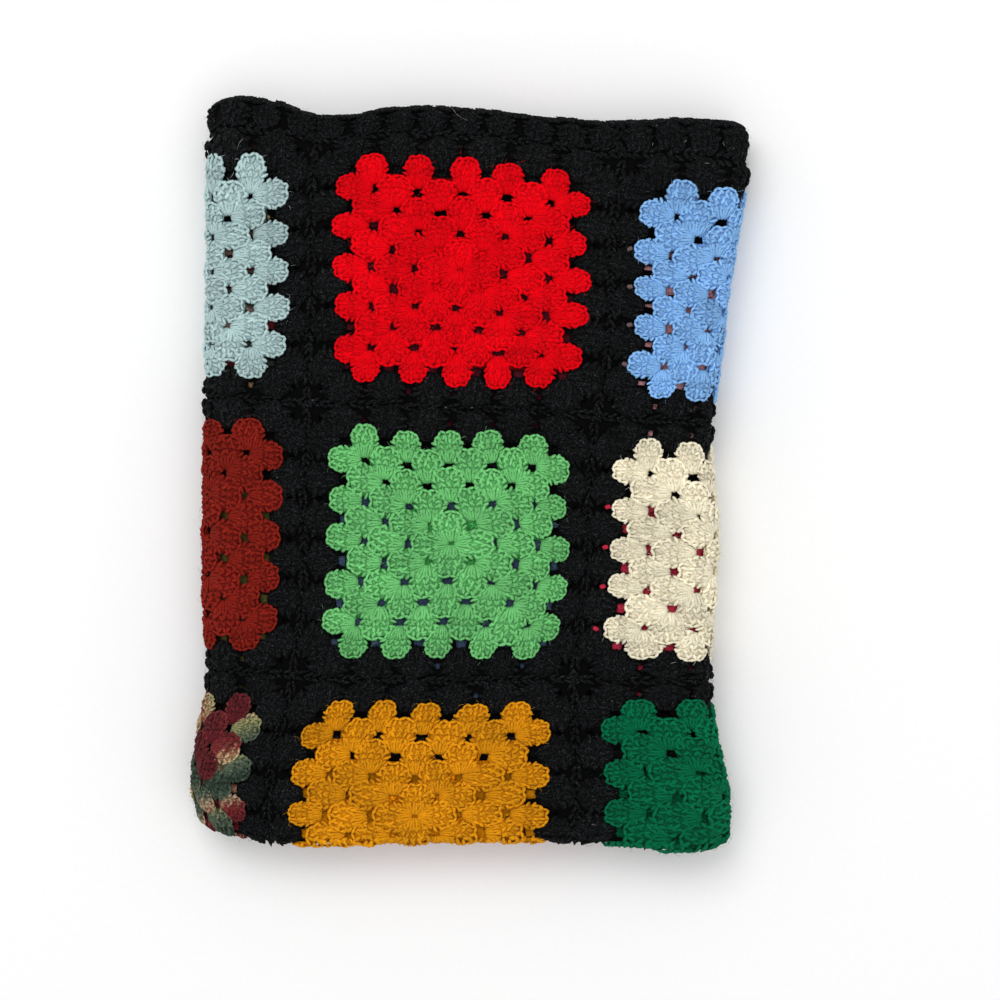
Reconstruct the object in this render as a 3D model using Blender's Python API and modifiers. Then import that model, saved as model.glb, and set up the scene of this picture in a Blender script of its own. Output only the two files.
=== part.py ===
"""Granny square blanket, folded in thirds along its length and then in thirds across its width.

The blanket is one crocheted sheet of joined squares inside a border. It is modelled flat, with the
gaps between its stitch clusters cut through, and then folded: every point keeps its place in the cloth,
given by u across the blanket, v down it, and n through its thickness.
Metres, +Z up. The packet lies on z = 0 with its fold lines along X and Y.
"""

import math

import bmesh
import bpy
import numpy as np

# The flat cloth
SQUARE = 0.152  # side of one granny square
COLUMNS = 5
ROWS = 8
BORDER = 0.015  # edging outside the squares
THICKNESS = 0.0036
ROUND = SQUARE / 13.35  # from one round of clusters to the next
WIDTH = COLUMNS * SQUARE + 2 * BORDER
LENGTH = ROWS * SQUARE + 2 * BORDER

# The folded packet, before it settles
LAYER = 0.0044  # from the middle of one layer to the next
STRIP = 3 * LAYER  # thickness of the cloth once it is folded along its length
OUTER_BEND = 2.5 * LAYER  # radius of the outermost layer's middle at a side fold
HALF_WIDTH = 0.140
TOP_HEM = 0.198  # y of the border that lies on top, at the far end
NEAR_FOLD = -0.1977  # y of the centre of the near fold
FAR_FOLD = 0.190  # y of the centre of the fold under the top hem
SHOWN_COLUMN = 1.603  # squares from the left border to the packet's left edge
STRETCH_ACROSS = 1.033  # how far the cloth on top is pulled out across, and drawn in along
STRETCH_ALONG = 0.967
SLACK_ALONG = 0.985  # the same for the middle layer
SLACK_BOTTOM = 0.895  # and for the bottom layer, which is drawn together to end at the near fold
SLACK_FLAP = 1.10

# Where the settled packet's sides lie. Columns: y, left side, right side.
SIDES = np.array(
    [
        (-0.200, -0.1480, 0.1425),
        (-0.175, -0.1515, 0.1430),
        (-0.150, -0.1490, 0.1380),
        (-0.115, -0.1430, 0.1330),
        (-0.085, -0.1445, 0.1332),
        (-0.030, -0.1450, 0.1368),
        (0.020, -0.1445, 0.1332),
        (0.080, -0.1435, 0.1390),
        (0.140, -0.1430, 0.1465),
        (0.180, -0.1425, 0.1530),
        (0.200, -0.1405, 0.1520),
    ]
)
# Where its ends lie. Columns: x, far hem, near fold.
ENDS = np.array(
    [
        (-0.150, 0.2055, -0.1880),
        (-0.125, 0.2072, -0.1940),
        (-0.104, 0.2034, -0.1983),
        (-0.088, 0.1978, -0.2010),
        (-0.070, 0.1960, -0.2028),
        (-0.050, 0.1990, -0.2025),
        (0.000, 0.2010, -0.2020),
        (0.040, 0.1957, -0.2012),
        (0.064, 0.1950, -0.2012),
        (0.100, 0.1955, -0.2035),
        (0.120, 0.1942, -0.2058),
        (0.150, 0.1925, -0.2025),
    ]
)
# How far the cloth at DRIFT_AT is drawn to the right, within DRIFT_REACH of it. Columns: y, how far.
DRIFT = np.array([(-0.160, 0.0), (-0.060, -0.0065), (0.000, -0.0025), (0.065, 0.0045), (0.120, 0.0)])
DRIFT_AT = 0.085
DRIFT_REACH = 0.055
END_REACH = 0.045  # how far in from an end its wave is felt
SLOPE = 0.035  # the rows of squares run down to the right by this much
SKEW = 0.021  # the rows of squares near the near fold are drawn to the left by this much
SKEW_FROM = -0.035  # where along Y that begins
SAG = 0.007  # the squares at the top right hang below their row by this much
SAG_LEFT = 0.006  # and the top of the square at the top left by this much
LEFT_ROW = 0.150  # where along Y that is most
LEFT_REACH = 0.090
CORNER = 0.004  # radius of the packet's corners, seen from above
CROWN = 0.07  # how much higher the middle stands than the edges, as a share
DROOP = 0.005  # how far the left edge sinks where the right flap doesn't reach under it
DROOP_FROM = -0.120
UNDER_SHORT = 0.006  # how far the bottom flap's ends lie inside those on top
MIDDLE = (0.0014, 0.0012)  # where the middle of the tables' packet lies
SHADE_ANGLE = math.radians(40)

# The gaps between clusters. Columns: round, length along the round, width across it.
GAPS = (
    (2, 0.0044, 0.0042),
    (3, 0.0056, 0.0046),
    (4, 0.0062, 0.0048),
    (5, 0.0066, 0.0046),
)
CORNER_GAP = 0.0043  # a gap at a square's corner is as long as it is wide
LINES_ACROSS = (-4.5, -1.5, 1.5, 4.5)  # mesh lines of a square in rounds, clear of every gap
LINES_ALONG = (-3.5, 0.5, 3.5)
SIDE_STEPS = 4  # mesh steps in a quarter turn of a side fold
END_STEPS = 5  # mesh steps in a half turn of an end fold
FLAP_STEPS = 4


def along_table():
    """The path of the cloth down its length, a row for each change. Columns: v, y, height, offset, turn."""
    shown = (TOP_HEM - NEAR_FOLD) / STRETCH_ALONG
    turn = math.pi * LAYER / 2
    back = (FAR_FOLD - NEAR_FOLD) / SLACK_ALONG
    v = np.cumsum([0, shown, turn, back, turn])
    last = FAR_FOLD - (LENGTH - v[-1]) * SLACK_BOTTOM
    high, low, half = 2 * LAYER, LAYER, LAYER / 2
    return np.array(
        [
            (v[0], TOP_HEM, high, half, 0),
            (v[1], NEAR_FOLD, high, half, 0),
            (v[2], NEAR_FOLD, high, half, math.pi),
            (v[3], FAR_FOLD, low, -half, math.pi),
            (v[4], FAR_FOLD, low, -half, 0),
            (LENGTH, last, low, -half, 0),
        ]
    )


def across_table():
    """The path of the folded strip across the blanket, a row for each change. Columns: u, x, z, turn."""
    side = HALF_WIDTH - OUTER_BEND - THICKNESS / 2
    quarter = math.pi / 2 * OUTER_BEND
    left = BORDER + SHOWN_COLUMN * SQUARE
    steps = [2 * quarter, 2 * side / STRETCH_ACROSS, quarter, STRIP, quarter]
    u = np.cumsum([left - quarter] + steps)
    left_end = -side + u[0] * STRETCH_ACROSS
    right_end = side - (WIDTH - u[5]) * SLACK_FLAP
    return np.array(
        [
            (0, left_end, 2 * STRIP, -math.pi),
            (u[0], -side, 2 * STRIP, -math.pi),
            (u[1], -side, 2 * STRIP, 0),
            (u[2], side, 2 * STRIP, 0),
            (u[3], side, 2 * STRIP, math.pi / 2),
            (u[4], side, STRIP, math.pi / 2),
            (u[5], side, STRIP, math.pi),
            (WIDTH, right_end, STRIP, math.pi),
        ]
    )


ALONG = along_table()
ACROSS = across_table()


def fold(u, v, n):
    """Where a point of the cloth lies once both folds are made."""
    y, height, offset, turn = (np.interp(v, ALONG[:, 0], column) for column in ALONG[:, 1:].T)
    y = y - (offset + n) * np.sin(turn)
    height = height + (offset + n) * np.cos(turn)
    x, z, turn = (np.interp(u, ACROSS[:, 0], column) for column in ACROSS[:, 1:].T)
    return x + height * np.sin(turn), y, z + height * np.cos(turn)


def curve(x, xs, ys):
    """A smooth curve through a table's points."""
    slopes = np.gradient(ys, xs)
    i = np.clip(np.searchsorted(xs, x) - 1, 0, len(xs) - 2)
    span = xs[i + 1] - xs[i]
    f = np.clip((x - xs[i]) / span, 0, 1)
    start = ys[i] * (1 + 2 * f) + slopes[i] * span * f
    end = ys[i + 1] * (3 - 2 * f) + slopes[i + 1] * span * (f - 1)
    return start * (1 - f) ** 2 + end * f**2


def nearness(distance, reach):
    """1 at distance 0, falling smoothly to 0 at the reach."""
    f = np.clip(1 - distance / reach, 0, 1)
    return f * f * (3 - 2 * f)


def settle(x, y, z):
    """Moves the evenly folded packet to the shape in which it lies: wavy ends, soft sides, a low crown."""
    z = z - (LAYER - THICKNESS) / 2
    far = nearness(TOP_HEM - y, END_REACH)
    near = nearness(y - NEAR_FOLD + LAYER, END_REACH)
    into = np.clip((np.maximum(y - TOP_HEM, NEAR_FOLD - LAYER - y) + CORNER) / CORNER, 0, 1)
    rounding = 1 - CORNER / HALF_WIDTH * (1 - np.sqrt(1 - 0.9 * into**2))
    lower = 1 - z / (3 * STRIP)
    left, right = curve(y, SIDES[:, 0], SIDES[:, 1]), curve(y, SIDES[:, 0], SIDES[:, 2])
    middle, half = (left + right) / 2, (right - left) / 2
    inside = 1 - np.abs(np.clip(x / HALF_WIDTH, -1, 1)) ** np.where(x < 0, 4, 2)
    skew = SKEW * inside * nearness(y - NEAR_FOLD, SKEW_FROM - NEAR_FOLD)
    drift = nearness(np.abs(x - DRIFT_AT), DRIFT_REACH) * curve(y, DRIFT[:, 0], DRIFT[:, 1])
    placed = middle + x / HALF_WIDTH * half * rounding - skew + drift
    hem = curve(x, ENDS[:, 0], ENDS[:, 1]) - TOP_HEM
    fold_end = curve(x, ENDS[:, 0], ENDS[:, 2]) - NEAR_FOLD + LAYER
    slope = -SLOPE * x * (1 - far) * (1 - near) * (1 + y / (2 * TOP_HEM))
    top_right = nearness(HALF_WIDTH - x, HALF_WIDTH) * nearness(TOP_HEM - END_REACH / 2 - y, TOP_HEM)
    sag = SAG * top_right * (1 - nearness(TOP_HEM - y, END_REACH / 2))
    top_left = nearness(x + HALF_WIDTH, LEFT_REACH) * nearness(np.abs(y - LEFT_ROW), LEFT_REACH)
    sag = sag + SAG_LEFT * top_left * (1 - far)
    short = UNDER_SHORT * lower * (0.7 + 0.3 * np.sin(40 * x))
    moved = y + far * (hem - short) + near * (fold_end + short) + slope - sag
    crown = (1 - (x / HALF_WIDTH) ** 2) * (1 - (y / TOP_HEM) ** 2)
    ripple = 0.6 * np.sin(21 * x + 9 * y + 1) + 0.4 * np.sin(33 * y - 12 * x)
    ends_low = nearness(TOP_HEM - np.abs(y), 0.03)
    height = z * (1 + CROWN * crown + 0.015 * ripple - 0.08 * ends_low)
    overhang = nearness(x + HALF_WIDTH, HALF_WIDTH + DROOP_FROM)
    droop = DROOP * overhang * (1 - nearness(z, STRIP))
    return placed - MIDDLE[0], moved - MIDDLE[1], height - droop


def lines_across():
    """The mesh lines across the cloth, which keep clear of the gaps on the packet's top."""
    rows = ACROSS[:, 0]
    centres = BORDER + (np.arange(COLUMNS) + 0.5) * SQUARE
    shown = (centres[:, None] + np.array(LINES_ACROSS) * ROUND).ravel()
    shown = np.concatenate([shown, BORDER + np.arange(COLUMNS + 1) * SQUARE])
    shown = shown[(shown > rows[2] + ROUND) & (shown < rows[3] - ROUND)]
    x = ACROSS[:, 1]
    droop_on_top = np.interp(DROOP_FROM, x[2:4], rows[2:4])
    droop_in_flap = np.interp(DROOP_FROM, x[1::-1], rows[1::-1])
    return np.unique(
        np.concatenate(
            [
                [rows[1], droop_on_top],
                np.linspace(rows[0], droop_in_flap, FLAP_STEPS + 1),
                np.linspace(rows[1], rows[2], 2 * SIDE_STEPS + 1),
                shown,
                np.linspace(rows[3], rows[4], SIDE_STEPS + 1),
                np.linspace(rows[5], rows[6], SIDE_STEPS + 1),
                np.linspace(rows[6], rows[7], FLAP_STEPS + 1),
            ]
        ).round(7)
    )


def lines_along():
    """The mesh lines down the cloth. Those of the layers inside lie under those on top."""
    v, y = ALONG[:, 0], ALONG[:, 1]
    centres = BORDER + (np.arange(ROWS) + 0.5) * SQUARE
    shown = (centres[:, None] + np.array(LINES_ALONG) * ROUND).ravel()
    shown = np.concatenate([shown, BORDER + np.arange(1, ROWS) * SQUARE])
    places = np.interp(shown[shown < v[1] - ROUND / 2], v[:2], y[:2])
    places = np.concatenate([places, [FAR_FOLD, y[-1]]])
    lines = [v[[0, -1]]]
    lines += [np.linspace(v[i], v[i + 1], END_STEPS + 1) for i in (1, 3)]
    for start in (0, 2, 4):
        run = (places - y[start]) / (y[start + 1] - y[start])
        run = run[(run > 0) & (run < 1)]
        lines.append(v[start] + run * (v[start + 1] - v[start]))
    return np.unique(np.concatenate(lines).round(7))


def gaps():
    """The gaps on the packet's top. Each is a centre and half its size, across and along the cloth."""
    found = []
    first, last = ACROSS[2, 0] + ROUND / 2, ACROSS[3, 0] - ROUND / 2
    for row in range(ROWS):
        for column in range(COLUMNS):
            centre = np.array([BORDER + (column + 0.5) * SQUARE, BORDER + (row + 0.5) * SQUARE])
            for number, length, width in GAPS:
                for step in range(-number, number + 1, 2):
                    corner = abs(step) == number
                    size = (CORNER_GAP, CORNER_GAP) if corner else (length, width)
                    for side in (-number, number):
                        found.append((centre + np.array([step, side]) * ROUND, size))
                        if not corner:
                            found.append((centre + np.array([side, step]) * ROUND, size[::-1]))
    end = ALONG[1, 0] - 1.5 * ROUND
    return [(c, np.array(s) / 2) for c, s in found if first < c[0] < last and c[1] < end]


def flat_sheet():
    """The cloth laid flat, with v running to -Y: a grid drawn to the mesh lines, then thickened."""
    across, along = lines_across(), lines_along()
    mesh = bpy.data.meshes.new("flat_sheet")
    sheet = bmesh.new()
    bmesh.ops.create_grid(sheet, x_segments=len(across) - 1, y_segments=len(along) - 1, size=0.5)
    for vertex in sheet.verts:
        i = round((0.5 + vertex.co.x) * (len(across) - 1))
        j = round((0.5 - vertex.co.y) * (len(along) - 1))
        vertex.co = (across[i], -along[j], 0)
    sheet.to_mesh(mesh)
    sheet.free()
    flat = bpy.data.objects.new("flat_sheet", mesh)
    solidify = flat.modifiers.new("Thickness", "SOLIDIFY")
    solidify.thickness = THICKNESS
    solidify.offset = 0
    return flat


def gap_cutters():
    """One block for each gap, all in one object."""
    mesh = bpy.data.meshes.new("gap_cutters")
    blocks = bmesh.new()
    for centre, half in gaps():
        made = bmesh.ops.create_cube(blocks, size=2)["verts"]
        for vertex in made:
            vertex.co.x = centre[0] + vertex.co.x * half[0]
            vertex.co.y = vertex.co.y * half[1] - centre[1]
            vertex.co.z *= THICKNESS
    blocks.to_mesh(mesh)
    blocks.free()
    return bpy.data.objects.new("gap_cutters", mesh)


def folded(flat):
    """A new mesh: the flat cloth with its gaps cut, folded and settled."""
    graph = bpy.context.evaluated_depsgraph_get()
    mesh = bpy.data.meshes.new_from_object(flat.evaluated_get(graph))
    cloth = bmesh.new()
    cloth.from_mesh(mesh)
    bmesh.ops.triangulate(cloth, faces=cloth.faces[:], quad_method="BEAUTY", ngon_method="BEAUTY")
    cloth.to_mesh(mesh)
    cloth.free()
    flat_points = np.empty(len(mesh.vertices) * 3)
    mesh.vertices.foreach_get("co", flat_points)
    across, down, through = flat_points.reshape(-1, 3).T
    points = np.stack(settle(*fold(across, -down, through)), axis=1)
    mesh.vertices.foreach_set("co", points.ravel())
    mesh.update()
    mesh.shade_smooth()
    mesh.set_sharp_from_angle(angle=SHADE_ANGLE)
    mesh.name = "blanket"
    return mesh


def yarn_material():
    """Black acrylic yarn, the colour of the joining and the border."""
    material = bpy.data.materials.new("crochet_yarn")
    material.use_nodes = True
    shader = material.node_tree.nodes["Principled BSDF"]
    shader.inputs["Base Color"].default_value = (0.012, 0.012, 0.014, 1)
    shader.inputs["Roughness"].default_value = 0.9
    shader.inputs["Metallic"].default_value = 0
    return material


def clear_scene():
    for item in list(bpy.data.objects):
        bpy.data.objects.remove(item, do_unlink=True)


def main():
    clear_scene()
    parts = bpy.data.collections.new("granny_square_blanket")
    cutters = bpy.data.collections.new("cutters")
    for collection in (parts, cutters):
        bpy.context.scene.collection.children.link(collection)
    flat, blocks = flat_sheet(), gap_cutters()
    for helper in (flat, blocks):
        cutters.objects.link(helper)
        helper.hide_render = True
        helper.display_type = "WIRE"
    cut = flat.modifiers.new("Gaps", "BOOLEAN")
    cut.operation = "DIFFERENCE"
    cut.solver = "EXACT"
    cut.object = blocks
    bpy.context.view_layer.update()
    mesh = folded(flat)
    mesh.materials.clear()
    mesh.materials.append(yarn_material())
    parts.objects.link(bpy.data.objects.new("blanket", mesh))


main()
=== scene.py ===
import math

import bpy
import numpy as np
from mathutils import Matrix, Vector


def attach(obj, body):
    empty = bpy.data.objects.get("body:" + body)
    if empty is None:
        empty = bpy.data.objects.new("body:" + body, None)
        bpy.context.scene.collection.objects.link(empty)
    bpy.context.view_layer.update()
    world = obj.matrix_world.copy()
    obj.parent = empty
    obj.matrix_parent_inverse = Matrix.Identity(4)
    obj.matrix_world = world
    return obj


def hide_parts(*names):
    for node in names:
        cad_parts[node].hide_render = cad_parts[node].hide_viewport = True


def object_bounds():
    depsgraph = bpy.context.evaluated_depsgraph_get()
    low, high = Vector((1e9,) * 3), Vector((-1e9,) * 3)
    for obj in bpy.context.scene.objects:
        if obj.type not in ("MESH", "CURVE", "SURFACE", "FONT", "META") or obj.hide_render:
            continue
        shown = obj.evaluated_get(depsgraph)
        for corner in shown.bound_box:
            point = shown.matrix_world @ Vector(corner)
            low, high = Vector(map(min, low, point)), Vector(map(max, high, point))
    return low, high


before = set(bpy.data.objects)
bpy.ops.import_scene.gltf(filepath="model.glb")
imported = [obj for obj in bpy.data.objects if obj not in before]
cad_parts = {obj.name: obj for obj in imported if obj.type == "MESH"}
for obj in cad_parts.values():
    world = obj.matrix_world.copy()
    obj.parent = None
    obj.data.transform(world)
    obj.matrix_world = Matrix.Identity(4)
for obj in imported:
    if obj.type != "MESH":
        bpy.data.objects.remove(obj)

# Granny square blanket, folded in thirds both ways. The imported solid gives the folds; this script lays the
# crocheted yarn along them. Each stitch cluster is placed on the flat cloth, by u across it, v down it and
# n through it, and then folded as part.py folds the solid.
# Metres, +Z up. The packet lies on z = 0, with its fold lines along X and Y.

CAD_LOW, CAD_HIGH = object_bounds()
RANDOM = np.random.default_rng(7)

# The flat cloth and its folds, as in part.py
SQUARE = 0.152  # side of one granny square
COLUMNS = 5
ROWS = 8
BORDER = 0.015  # edging outside the squares
THICKNESS = 0.0036  # of one layer
ROUND = SQUARE / 13.35  # from one round of clusters to the next
WIDTH = COLUMNS * SQUARE + 2 * BORDER
LENGTH = ROWS * SQUARE + 2 * BORDER
LAYER = 0.0044  # from the middle of one layer to the next
STRIP = 3 * LAYER  # from one strip of three layers to the next
OUTER_BEND = 2.5 * LAYER  # radius of the top layer's bend at the sides
HALF_WIDTH = 0.140  # of the packet
TOP_HEM = 0.198  # y of the hem that lies on top
NEAR_FOLD = -0.1977  # and of the two folds across the length
FAR_FOLD = 0.190
SHOWN_COLUMN = 1.603  # how many columns of squares are folded under at the left
# How long each stretch of the cloth lies, as a share of its flat length
STRETCH_ACROSS = 1.033
STRETCH_ALONG = 0.967
SLACK_ALONG = 0.985
SLACK_BOTTOM = 0.895
SLACK_FLAP = 1.10
# Where the packet's sides lie. Columns: y, left side, right side.
SIDES = np.array(
    [
        (-0.200, -0.1480, 0.1425),
        (-0.175, -0.1515, 0.1430),
        (-0.150, -0.1490, 0.1380),
        (-0.115, -0.1430, 0.1330),
        (-0.085, -0.1445, 0.1332),
        (-0.030, -0.1450, 0.1368),
        (0.020, -0.1445, 0.1332),
        (0.080, -0.1435, 0.1390),
        (0.140, -0.1430, 0.1465),
        (0.180, -0.1425, 0.1530),
        (0.200, -0.1405, 0.1520),
    ]
)
# Where its ends lie. Columns: x, far hem, near fold.
ENDS = np.array(
    [
        (-0.150, 0.2055, -0.1880),
        (-0.125, 0.2072, -0.1940),
        (-0.104, 0.2034, -0.1983),
        (-0.088, 0.1978, -0.2010),
        (-0.070, 0.1960, -0.2028),
        (-0.050, 0.1990, -0.2025),
        (0.000, 0.2010, -0.2020),
        (0.040, 0.1957, -0.2012),
        (0.064, 0.1950, -0.2012),
        (0.100, 0.1955, -0.2035),
        (0.120, 0.1942, -0.2058),
        (0.150, 0.1925, -0.2025),
    ]
)
# How far the cloth at DRIFT_AT is drawn to the right, within DRIFT_REACH of it. Columns: y, how far.
DRIFT = np.array([(-0.160, 0.0), (-0.060, -0.0065), (0.000, -0.0025), (0.065, 0.0045), (0.120, 0.0)])
DRIFT_AT = 0.085
DRIFT_REACH = 0.055
END_REACH = 0.045  # how far from the ends their waves reach
SLOPE = 0.035  # how far the rows fall to the right, for each metre across
SKEW = 0.021  # how far the rows near the near fold are drawn to the left
SKEW_FROM = -0.035  # the y at which that starts
SAG = 0.007  # how far the top right squares hang below their row
SAG_LEFT = 0.006  # and the top left square, about LEFT_ROW
LEFT_ROW = 0.150
LEFT_REACH = 0.090
CORNER = 0.004  # radius of the packet's corners, seen from above
CROWN = 0.07  # how much higher the packet is in its middle, as a share
DROOP = 0.005  # how far the top strip hangs down at the left side
DROOP_FROM = -0.120  # the x at which that starts
UNDER_SHORT = 0.006  # how much shorter the lower layers are at each end
MIDDLE = (0.0014, 0.0012)  # the middle of the packet's box before it is centred

# The yarn
ROUNDS = 5  # coloured rounds of a square, with a black one outside them
SUNKEN = -0.0012  # the black round starts this much lower than the coloured heads over it
GAP_ROUNDS = (2, 6)  # the first and last round whose gaps go through the web

# Yarn colours as they look in daylight, from 0 to 255. Each has after it a darker colour, painted shade for
# its crevices.
YARNS = {
    "black": ((15, 16, 17), (6, 7, 7)),
    "pale_blue": ((177, 201, 201), (144, 170, 171)),
    "red": ((228, 0, 18), (219, 0, 14)),
    "light_blue": ((138, 187, 235), (107, 151, 212)),
    "rust": ((132, 31, 21), (90, 13, 8)),
    "green": ((115, 194, 119), (50, 128, 61)),
    "cream": ((240, 233, 208), (226, 212, 184)),
    "gold": ((218, 147, 16), (180, 104, 0)),
    "dark_green": ((2, 105, 68), (0, 66, 41)),
    "variegated": ((200, 190, 170), (110, 90, 80)),
    "olive": ((94, 92, 46), (54, 52, 22)),
    "slate": ((84, 104, 132), (44, 56, 80)),
    "crimson": ((216, 66, 92), (170, 34, 56)),
    "plum": ((98, 44, 88), (54, 18, 48)),
    "dusty_pink": ((222, 166, 168), (186, 124, 128)),
    "brown": ((40, 32, 28), (20, 15, 13)),
    "burgundy": ((104, 30, 44), (54, 12, 20)),
}
# The loose fibres of each yarn that shows, which catch the light: their colours are lighter than the yarn's,
# a painted highlight
FUZZ = {
    "black": (66, 66, 70),
    "pale_blue": (196, 218, 218),
    "red": (240, 40, 50),
    "light_blue": (160, 200, 240),
    "rust": (160, 60, 44),
    "green": (140, 214, 148),
    "cream": (244, 240, 222),
    "gold": (240, 176, 50),
    "dark_green": (30, 130, 92),
    "variegated": (190, 150, 150),
}
# The colour of each square, row by row from the hem that lies on top
PATCHES = (
    ("olive", "pale_blue", "red", "light_blue", "gold"),
    ("cream", "rust", "green", "cream", "plum"),
    ("crimson", "variegated", "gold", "dark_green", "dusty_pink"),
    ("slate", "olive", "slate", "crimson", "green"),
    ("gold", "variegated", "burgundy", "dusty_pink", "light_blue"),
    ("red", "brown", "brown", "brown", "rust"),
    ("dusty_pink", "slate", "dark_green", "olive", "crimson"),
    ("pale_blue", "gold", "plum", "rust", "cream"),
)
# What the variegated yarn runs through, one after the other
VARIEGATION = (
    *((92, 24, 34), (98, 28, 36), (120, 42, 44), (186, 158, 120), (140, 142, 98)),
    *((84, 98, 82), (40, 58, 48), (78, 94, 78), (170, 146, 118), (122, 36, 40)),
)
# How strongly fuzz speckles these yarns, in powers of two over its range: random tone of the fibres and, on
# the black, painted glints of its fibres
MOTTLE = {"black": 20.0, "variegated": 5.0}
PLAIN_MOTTLE = 1.5  # and the others
WEB_MOTTLE = 8.0
# The shader's numbers for yarn. Scales are for metres.
STRAND_SCALE = (300, 1500, 1)  # of its fibres, along a strand and round it
PATCH_SCALE = 60.0
FUZZ_SCALE = 1200.0
TWIST = 0.30  # how far its fibres lean from the strand, in radians
BUMP = 0.0005
SPECULAR = 0.06
SHEEN = 0.12
BLACK_SHEEN = 0.06
# How wide and long a cluster is and how far it starts off the cloth: inner rounds, last coloured, black
SIZES = {-1: (1.06, 1.0, 0.0), 0: (0.93, 0.92, 0.0), 1: (1.24, 0.96, SUNKEN)}
# How a cluster is built, from close up to the layers inside. After the number of different ones come its
# body (rings, sides, depth), its fan (strands, radius, points), its stitches (rows, length, radius) and its
# rim's radius. A row of stitches has its place outward, how far across it reaches and how many Vs it has.
CLUSTERS = {
    "full": (
        6,
        (5, 8, 0.0016),
        (9, 0.00088, 6),
        (((0.58, 0.38, 3), (0.84, 0.47, 4), (1.12, 0.47, 4), (1.38, 0.32, 3)), 0.35, 0.00100),
        0.00095,
    ),
    "plain": (4, (4, 8, 0.0015), (5, 0.0013, 5), (((0.80, 0.34, 2), (1.18, 0.32, 2)), 0.50, 0.0013)),
    "under": (3, (3, 6, 0.0015), (3, 0.0019, 4), (((0.95, 0.30, 2),), 0.70, 0.0017)),
    "beneath": (1, (3, 8, 0.0016)),
    "hidden": (1, (2, 6, 0.0016)),
}
# How much wider the clusters of the fuller yarns are
PLUMP = {"rust": 1.12, "dark_green": 1.07, "pale_blue": 1.04}
# Where the variegated yarn's repeat has come to at clusters that show, by round and side, then by place
DYED = {
    (5, "far"): {4: 0.3, 2: 2.6},
    (4, "far"): {3: 0.8, 1: 2.2},
    (3, "far"): {2: 0.5, 0: 1.8},
    (5, "right"): {-4: 4.2, -2: 5.3, 0: 8.9, 2: 9.6},
    (4, "right"): {-3: 2.1, -1: 6.1, 1: 5.2},
    (3, "right"): {-2: 0.6, 0: 7.4, 2: 0.4},
}
STITCH_PITCH = 0.36 * ROUND  # from one stitch of a join or an edge to the next
EDGE_LINE = 0.0012  # the edge's stitches run this far inside the cloth's edge
HALF_CLUSTER = 0.8 * ROUND  # from a cluster's base to its middle
BENEATH_HIGH = 0.80  # how high the clusters that don't show on top are, as a share
FACE_FROM = 0.020  # how far past the far fold the clusters stand on the cloth's face again
TUFT_FIBRES = 11
# The size of the edge's tufts, as a share of a cluster's
EDGE_TUFT = {"wide": 0.18, "long": 0.5, "high": 0.4}
# The spread of the clusters' width, length, turn and shade, and of every stitch's place
SPREAD = {"wide": 0.045, "long": 0.035, "turn": 0.07, "shade": 0.05, "place": 0.0003}
# Where the cloth is drawn along its length: place across and down it, and how far
PULLS = (
    (0.270, 0.045, 0.0034),
    (0.395, 0.045, 0.0026),
    (0.520, 0.045, 0.0030),
    (0.270, 0.197, -0.0014),
    (0.395, 0.197, 0.0026),
    (0.520, 0.197, 0.0020),
    (0.395, 0.349, 0.0010),
    (0.520, 0.349, -0.0024),
)
PULL_REACH = (0.105, 0.075)  # how far round the place it reaches
# The web between the clusters, coloured with painted shade
WEB_DEPTH = -0.0009  # from the middle of the cloth
WEB_EDGE = 0.0009  # the web ends this far inside the cloth's edge, under the edge's stitches
BLACK_WEB_SHADE = 0.4  # the web's painted shade between the black clusters, as a share of their crevices' painted shade
GAP_TAPER = 0.65  # how much narrower a gap is on its outward side
# How much of its cell in the web each round's gaps take, along the round and across it
GAP_SHARES = {2: (1.1, 1.0), 3: (1.25, 1.1), 4: (1.35, 1.2), 5: (1.05, 1.0), 6: (0.50, 0.50)}
# How far past the folds the cloth is seen: at the sides, past the near fold, at the ends, at the hem
SEEN_SIDE = 0.006
SEEN_PAST = 0.010
SEEN_NEAR = 0.014
SEEN_FAR = 0.016
SEEN_HEM = 0.022
# Pale lint on the black yarn: place across and down the cloth, turn, length
LINT = (
    (0.504, 0.010, 1.0, 0.0018),
    (0.515, 0.018, 1.6, 0.0027),
    (0.523, 0.011, 2.4, 0.0018),
    (0.487, 0.011, 0.4, 0.0015),
    (0.490, 0.004, 1.2, 0.0013),
    (0.478, 0.065, 2.0, 0.0014),
    (0.323, 0.165, 0.9, 0.0017),
    (0.393, 0.167, 2.2, 0.0019),
    (0.407, 0.166, 1.4, 0.0018),
    (0.446, 0.403, 0.7, 0.0017),
    (0.480, 0.402, 1.9, 0.0016),
    (0.386, 0.000, -0.9, 0.0130),
    (0.284, 0.020, 0.5, 0.0060),
)
# Loops of the yarn beneath that show in LOOP_COLUMN: row, colour, places in rounds from the centre
LOOPS = (
    (0, (104, 88, 88), ((-5.84, -2.0), (-5.80, 0.0), (-5.86, 2.0), (-5.90, 4.0))),
    (1, (190, 40, 66), ((-5.80, -2.1), (-5.84, 0.0), (-5.82, 2.0), (-5.93, 4.1))),
)
LOOP_COLUMN = 3  # counted from 0 at the left
# The floor, the light and the camera
FLOOR_SIZE = 6.0
SKY = 0.75  # strength of the light from all round
# Each lamp's name, place, width and power. They aim at the packet.
LAMPS = (
    ("key", (-0.5, 0.9, 1.9), 1.3, 17),
    ("fill", (0.9, -0.6, 2.0), 1.6, 6),
)
CAMERA_HEIGHT = 1.6  # above the packet's top
SENSOR = 36  # the camera's sensor is this wide, in millimetres
VIEW_WIDTH = 0.540  # width of the photograph at the packet's top
VIEW_CENTRE = (0.01615, -0.01497)


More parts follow.
